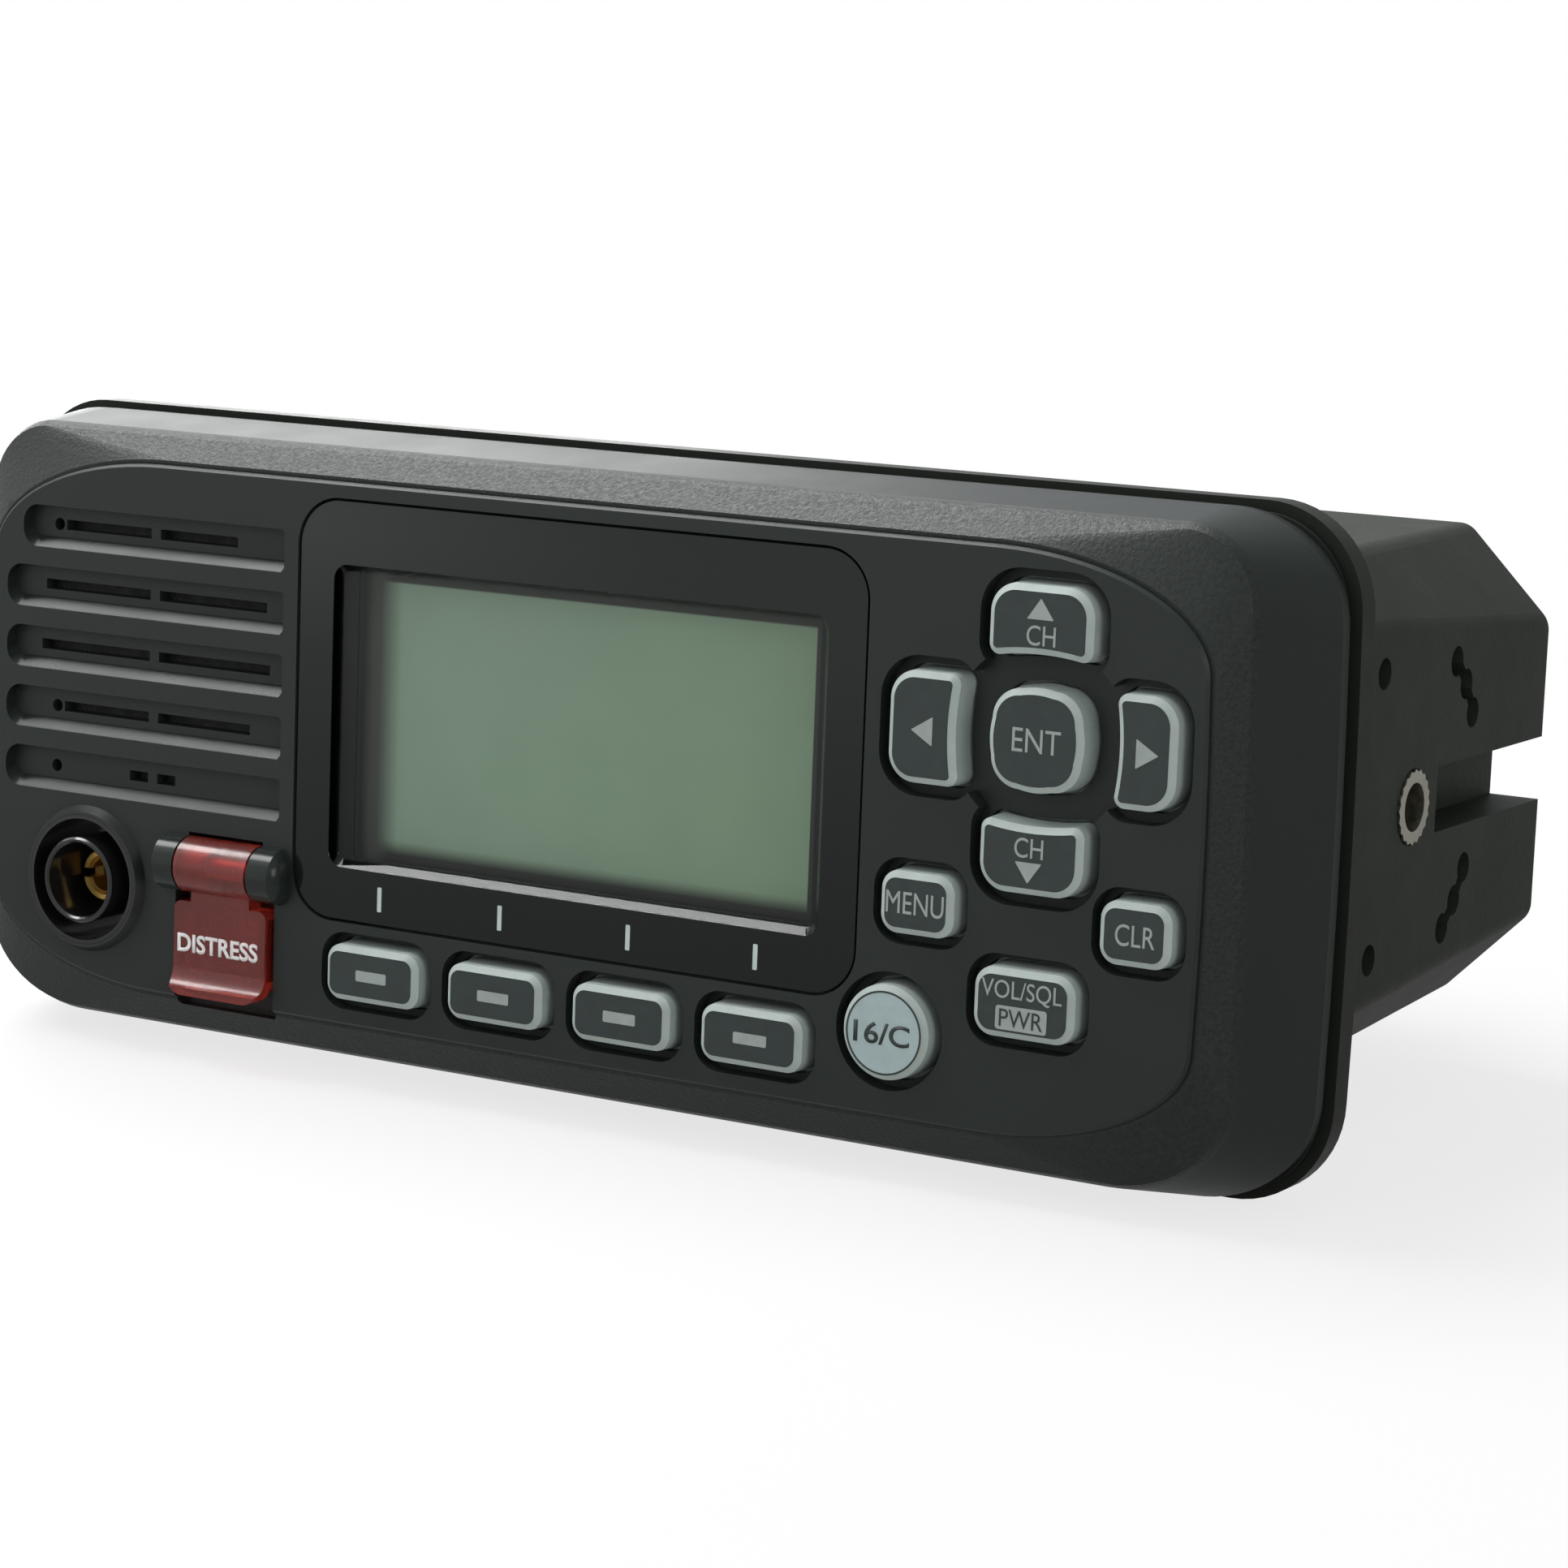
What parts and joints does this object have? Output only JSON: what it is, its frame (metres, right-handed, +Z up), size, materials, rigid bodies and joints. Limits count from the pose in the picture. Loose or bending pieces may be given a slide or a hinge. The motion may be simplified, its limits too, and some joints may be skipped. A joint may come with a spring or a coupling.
{
  "type": "vhf marine radio",
  "caption": "Compact fixed-mount marine radio: wide display, rubber keypad, speaker louvres, lidded distress key and a finned case with side inserts for a bracket.",
  "frame": {"origin": "bottom centre of the radio's bounding box", "axes": "+X to the right as seen from the front, +Y from the front into the depth, +Z up"},
  "size_m": [0.1564, 0.11, 0.0658],
  "materials": {
    "panel": "satin moulded polycarbonate blend",
    "case": "fine-textured glass-filled plastic",
    "window": "gloss acrylic, black printed border",
    "display": "grey-green reflective display",
    "black_tape": "black foam adhesive tape",
    "white_plastic": "plain moulded",
    "key_rubber": "translucent grey silicone with a dark printed top",
    "red_rubber": "matt silicone",
    "red_clear": "clear red polycarbonate",
    "gloss_black": "gloss moulded",
    "seal": "matt black rubber",
    "gold": "gold-plated",
    "nickel": "satin nickel plate",
    "steel": "zinc-plated",
    "tin": "tin-plated sheet",
    "mesh": "black woven net",
    "paper": "treated paper",
    "magnet": "ferrite and steel",
    "board": "green solder mask",
    "flex": "polyimide film",
    "ceramic": "moulded module on a metal flange",
    "cast_aluminium": "black powder coat"
  },
  "bodies": {
    "radio": {"front_panel": "panel", "window_lens": "window", "window_tape": "black_tape", "lcd_glass": "display", "lcd_holder": "white_plastic", "keypad_mat": "key_rubber", "distress_pin": "steel", "distress_spring": "steel", "mic_socket_body": "gloss_black", "mic_socket_collar": "gloss_black", "mic_socket_contact": "gold", "speaker_net": "mesh", "speaker_frame": "steel", "speaker_cone": "paper", "speaker_magnet": "magnet", "front_board": "board", "key_domes": "steel", "front_board_screws": "steel", "flex_cable": "flex", "main_seal": "seal", "rear_case": "case", "insert_left": "nickel", "insert_right": "nickel", "case_screws": "steel", "main_board": "board", "main_board_screws": "steel", "shield_can": "tin", "power_module": "ceramic", "heat_sink": "cast_aluminium", "heat_sink_screws": "steel", "antenna_socket": "nickel", "antenna_insulator": "white_plastic", "antenna_contact": "gold", "power_gland": "seal", "signal_gland": "seal"},
    "key_up": {"key_up": "key_rubber"},
    "key_down": {"key_down": "key_rubber"},
    "key_left": {"key_left": "key_rubber"},
    "key_right": {"key_right": "key_rubber"},
    "key_enter": {"key_enter": "key_rubber"},
    "key_menu": {"key_menu": "key_rubber"},
    "key_clear": {"key_clear": "key_rubber"},
    "key_power": {"key_power": "key_rubber"},
    "key_call": {"key_call": "key_rubber"},
    "key_soft_1": {"key_soft_1": "key_rubber"},
    "key_soft_2": {"key_soft_2": "key_rubber"},
    "key_soft_3": {"key_soft_3": "key_rubber"},
    "key_soft_4": {"key_soft_4": "key_rubber"},
    "distress_key": {"distress_key": "red_rubber"},
    "distress_cover": {"distress_cover": "red_clear"}
  },
  "joints": [
    {"name": "key_up_press", "type": "slide", "parent": "radio", "child": "key_up", "axis": [0, 1, 0], "range_m": [0, 0.0008], "stiffness_N_per_m": 1500},
    {"name": "key_down_press", "type": "slide", "parent": "radio", "child": "key_down", "axis": [0, 1, 0], "range_m": [0, 0.0008], "stiffness_N_per_m": 1500},
    {"name": "key_left_press", "type": "slide", "parent": "radio", "child": "key_left", "axis": [0, 1, 0], "range_m": [0, 0.0008], "stiffness_N_per_m": 1500},
    {"name": "key_right_press", "type": "slide", "parent": "radio", "child": "key_right", "axis": [0, 1, 0], "range_m": [0, 0.0008], "stiffness_N_per_m": 1500},
    {"name": "key_enter_press", "type": "slide", "parent": "radio", "child": "key_enter", "axis": [0, 1, 0], "range_m": [0, 0.0008], "stiffness_N_per_m": 1500},
    {"name": "key_menu_press", "type": "slide", "parent": "radio", "child": "key_menu", "axis": [0, 1, 0], "range_m": [0, 0.0008], "stiffness_N_per_m": 1500},
    {"name": "key_clear_press", "type": "slide", "parent": "radio", "child": "key_clear", "axis": [0, 1, 0], "range_m": [0, 0.0008], "stiffness_N_per_m": 1500},
    {"name": "key_power_press", "type": "slide", "parent": "radio", "child": "key_power", "axis": [0, 1, 0], "range_m": [0, 0.0008], "stiffness_N_per_m": 1500},
    {"name": "key_call_press", "type": "slide", "parent": "radio", "child": "key_call", "axis": [0, 1, 0], "range_m": [0, 0.0008], "stiffness_N_per_m": 1500},
    {"name": "key_soft_1_press", "type": "slide", "parent": "radio", "child": "key_soft_1", "axis": [0, 1, 0], "range_m": [0, 0.0008], "stiffness_N_per_m": 1500},
    {"name": "key_soft_2_press", "type": "slide", "parent": "radio", "child": "key_soft_2", "axis": [0, 1, 0], "range_m": [0, 0.0008], "stiffness_N_per_m": 1500},
    {"name": "key_soft_3_press", "type": "slide", "parent": "radio", "child": "key_soft_3", "axis": [0, 1, 0], "range_m": [0, 0.0008], "stiffness_N_per_m": 1500},
    {"name": "key_soft_4_press", "type": "slide", "parent": "radio", "child": "key_soft_4", "axis": [0, 1, 0], "range_m": [0, 0.0008], "stiffness_N_per_m": 1500},
    {"name": "distress_key_press", "type": "slide", "parent": "radio", "child": "distress_key", "axis": [0, 1, 0], "range_m": [0, 0.0008], "stiffness_N_per_m": 1500},
    {"name": "distress_cover_hinge", "type": "hinge", "parent": "radio", "child": "distress_cover", "pos_m": [-0.0391, -0.0521, 0.0204], "axis": [-1, 0, 0], "range_deg": [0, 110], "stiffness_Nm_per_rad": 0.002, "springref_deg": -17.19}
  ]
}
